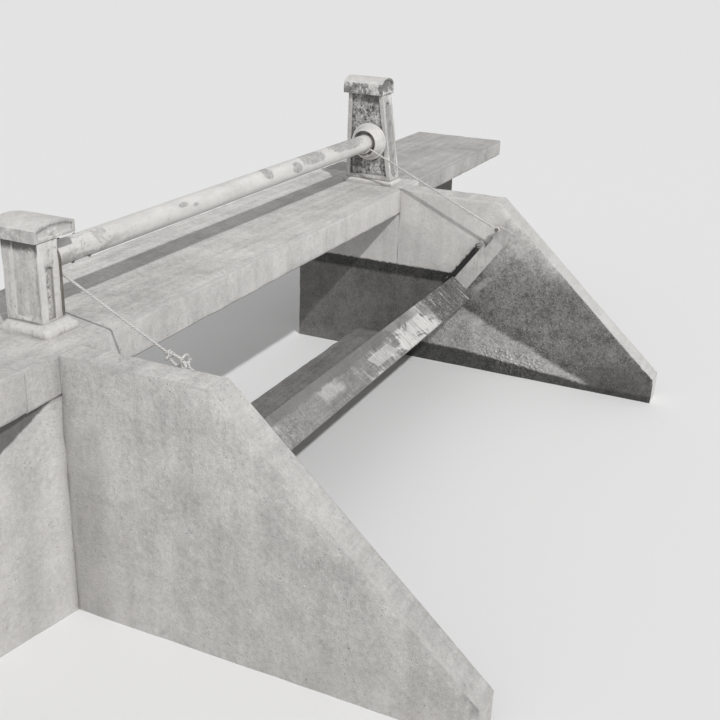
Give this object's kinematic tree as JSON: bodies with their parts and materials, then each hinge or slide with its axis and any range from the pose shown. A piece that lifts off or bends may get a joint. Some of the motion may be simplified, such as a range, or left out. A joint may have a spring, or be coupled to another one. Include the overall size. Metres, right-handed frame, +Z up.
{
  "type": "sluice gate",
  "caption": "Concrete footbridge over a narrow channel with a bottom-hinged tilting sluice flap, held by ropes from a winch tube between two capped posts.",
  "frame": {"origin": "centre of the structure's plan box, at the foot of the walls", "axes": "+X along the deck to the far bank, +Y upstream, +Z up"},
  "size_m": [8.2, 2.72, 1.991],
  "materials": {
    "concrete": "rough",
    "wet_concrete": "rough",
    "render_coat": "rough",
    "white_paint": "satin",
    "galvanised": "satin",
    "grey_steel": "matt",
    "rope": "matt",
    "wet_wood": "satin",
    "seal_rubber": "satin"
  },
  "bodies": {
    "structure": {"near_abutment_wall": "concrete", "far_abutment_wall": "concrete", "near_wing_wall": "concrete", "far_wing_wall": "concrete", "near_return_wall": "concrete", "far_return_wall": "concrete", "sill_beam": "wet_concrete", "deck_slab": "concrete", "near_approach_slab": "concrete", "far_approach_slab": "concrete", "near_post_plinth": "render_coat", "near_post": "render_coat", "near_post_cap": "render_coat", "far_post_plinth": "render_coat", "far_post": "render_coat", "far_post_cap": "render_coat", "near_bearing_stand": "grey_steel", "near_bearing_plate": "white_paint", "far_bearing_sleeve": "white_paint", "hinge_rod": "grey_steel", "hinge_brackets": "grey_steel", "near_rope": "rope", "far_rope": "rope"},
    "flap": {"near_flap_arm": "galvanised", "far_flap_arm": "galvanised", "flap_boards": "wet_wood", "flap_crest_board": "wet_wood", "flap_ribs": "grey_steel", "flap_knuckles": "grey_steel", "near_side_seal": "seal_rubber", "far_side_seal": "seal_rubber", "near_seal_bar": "galvanised", "far_seal_bar": "galvanised", "near_tip_pin": "grey_steel", "far_tip_pin": "grey_steel", "near_shackle": "grey_steel", "near_rope_tail": "rope"},
    "winch": {"winch_tube": "white_paint", "near_journal": "grey_steel", "far_journal": "grey_steel", "near_rope_hook": "grey_steel", "far_rope_hook": "grey_steel"}
  },
  "joints": [
    {"name": "flap_hinge", "type": "hinge", "parent": "structure", "child": "flap", "pos_m": [0, 0.465, 0.17], "axis": [1, 0, 0], "range_deg": [-20, 38], "deforming": ["near_rope", "far_rope"]},
    {"name": "winch_turn", "type": "hinge", "parent": "structure", "child": "winch", "pos_m": [0, 0.84, 1.551], "axis": [1, 0, 0], "range_deg": [-321, 609]}
  ],
  "couplings": [
    {"joint": "winch_turn", "follows": "flap_hinge", "ratio": 15.95}
  ]
}
